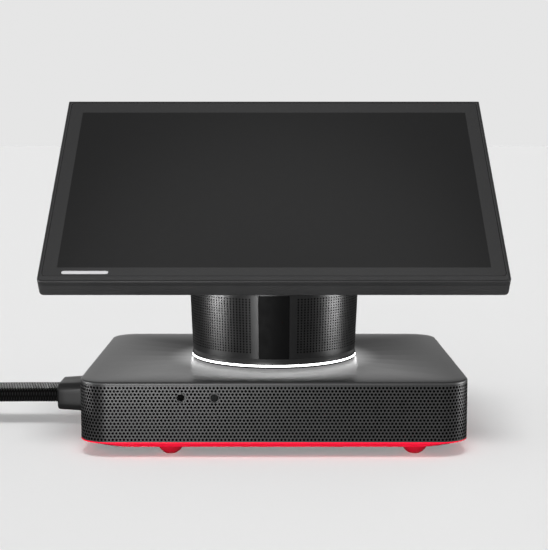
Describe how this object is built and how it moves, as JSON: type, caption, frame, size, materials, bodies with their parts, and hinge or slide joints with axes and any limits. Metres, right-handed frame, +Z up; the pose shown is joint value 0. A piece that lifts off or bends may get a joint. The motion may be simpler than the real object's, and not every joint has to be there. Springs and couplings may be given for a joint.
{
  "type": "smart display",
  "caption": "Tabletop meeting display: tilting touch screen on a swivelling speaker column with a lit ring, over a flat perforated computer base with a red underside and a sleeved cable loom.",
  "frame": {"origin": "on the table under the middle of the base, which is also on the swivel's axis", "axes": "+Z up, +X to the right of a person facing the screen, +Y to the back; the screen's long side lies along X"},
  "size_m": [0.461, 0.2358, 0.1801],
  "materials": {
    "top_plastic": "fine matt moulded plastic, near black",
    "grille_metal": "perforated sheet, satin black paint",
    "chassis_plastic": "matt black glass-filled plastic",
    "red_plastic": "bright red satin plastic",
    "red_rubber": "dark red soft rubber",
    "circuit_board": "green solder mask with black chips",
    "card_board": "dark blue-green card with chips",
    "fin_aluminium": "thin bare fins",
    "fan_plastic": "black fan plastic",
    "jack_plastic": "glossy black connector plastic",
    "smoked_window": "smoked glossy window",
    "button_plastic": "satin dark grey button",
    "screw_steel": "zinc-plated screw steel",
    "plate_steel": "cold-rolled steel plate",
    "bearing_acetal": "natural acetal",
    "hub_metal": "turned aluminium",
    "led_white": "white lamp board",
    "light_diffuser": "milky diffuser, lit white",
    "gloss_black": "glossy black plastic",
    "strip_plastic": "smooth black plastic strip",
    "speaker_metal": "black coated basket and magnet",
    "speaker_paper": "black coated cone and rubber surround",
    "neck_metal": "cast metal, satin dark grey paint",
    "washer_bronze": "bronze friction washer",
    "pin_steel": "ground steel pin",
    "wire_black": "black wire jacket",
    "back_plastic": "fine matt moulded plastic, black",
    "frame_metal": "satin dark grey frame",
    "screen_glass": "back-printed black cover glass, glossy",
    "panel_black": "dark liquid crystal panel",
    "panel_silver": "light guide with silver reflector",
    "relief_plastic": "semi-gloss black moulding",
    "loom_sleeve": "black braided sleeve",
    "tie_fabric": "black hook-and-loop tape",
    "plug_metal": "nickel-plated plug shells"
  },
  "bodies": {
    "base": {"base_top_cover": "top_plastic", "base_grille": "grille_metal", "base_chassis": "chassis_plastic", "bottom_cover": "red_plastic", "cable_hatch": "red_plastic", "feet": "red_rubber", "main_board": "circuit_board", "front_board": "circuit_board", "switch_board": "circuit_board", "microphone_boards": "circuit_board", "memory_modules": "card_board", "ssd_module": "card_board", "wireless_card": "card_board", "heat_sink": "fin_aluminium", "fan_housing": "fan_plastic", "headset_jack": "jack_plastic", "presence_sensor": "jack_plastic", "sensor_window": "smoked_window", "chassis_screws": "screw_steel", "swivel_plate": "plate_steel", "plate_screws": "screw_steel", "swivel_bearing": "bearing_acetal", "cable_strain_relief": "relief_plastic", "cable_run": "loom_sleeve", "cable_coil": "loom_sleeve", "cable_tie": "tie_fabric", "cable_connector": "relief_plastic", "connector_plugs": "plug_metal"},
    "column": {"swivel_hub": "hub_metal", "swivel_retainer": "plate_steel", "column_floor": "gloss_black", "led_board": "led_white", "light_ring": "light_diffuser", "column_collar": "gloss_black", "column_frame": "chassis_plastic", "left_grille": "grille_metal", "right_grille": "grille_metal", "front_strip": "strip_plastic", "rear_strip": "strip_plastic", "column_cap": "top_plastic", "left_speaker_basket": "speaker_metal", "right_speaker_basket": "speaker_metal", "left_speaker_cone": "speaker_paper", "right_speaker_cone": "speaker_paper", "neck": "neck_metal", "neck_screws": "screw_steel", "friction_washers": "washer_bronze", "display_harness": "wire_black"},
    "display": {"hinge_bracket": "neck_metal", "hinge_pin": "pin_steel", "bracket_screws": "screw_steel", "display_back_cover": "back_plastic", "display_frame": "frame_metal", "cover_glass": "screen_glass", "lcd_panel": "panel_black", "backlight_unit": "panel_silver", "display_board": "circuit_board"},
    "fan_rotor": {"fan_rotor": "fan_plastic"},
    "power_button": {"power_button": "button_plastic"}
  },
  "joints": [
    {"name": "column_swivel", "type": "hinge", "parent": "base", "child": "column", "pos_m": [0, 0, 0.038], "axis": [0, 0, 1], "range_deg": [-180, 180]},
    {"name": "display_tilt", "type": "hinge", "parent": "column", "child": "display", "pos_m": [0, 0, 0.104], "axis": [1, 0, 0], "range_deg": [-35, 0]},
    {"name": "power_press", "type": "slide", "parent": "base", "child": "power_button", "axis": [0, -1, 0], "range_m": [0, 0.001], "stiffness_N_per_m": 400, "springref_m": -0.001},
    {"name": "fan_spin", "type": "hinge", "parent": "base", "child": "fan_rotor", "pos_m": [0.062, 0.03, 0.022], "axis": [0, 0, 1], "continuous": true}
  ]
}
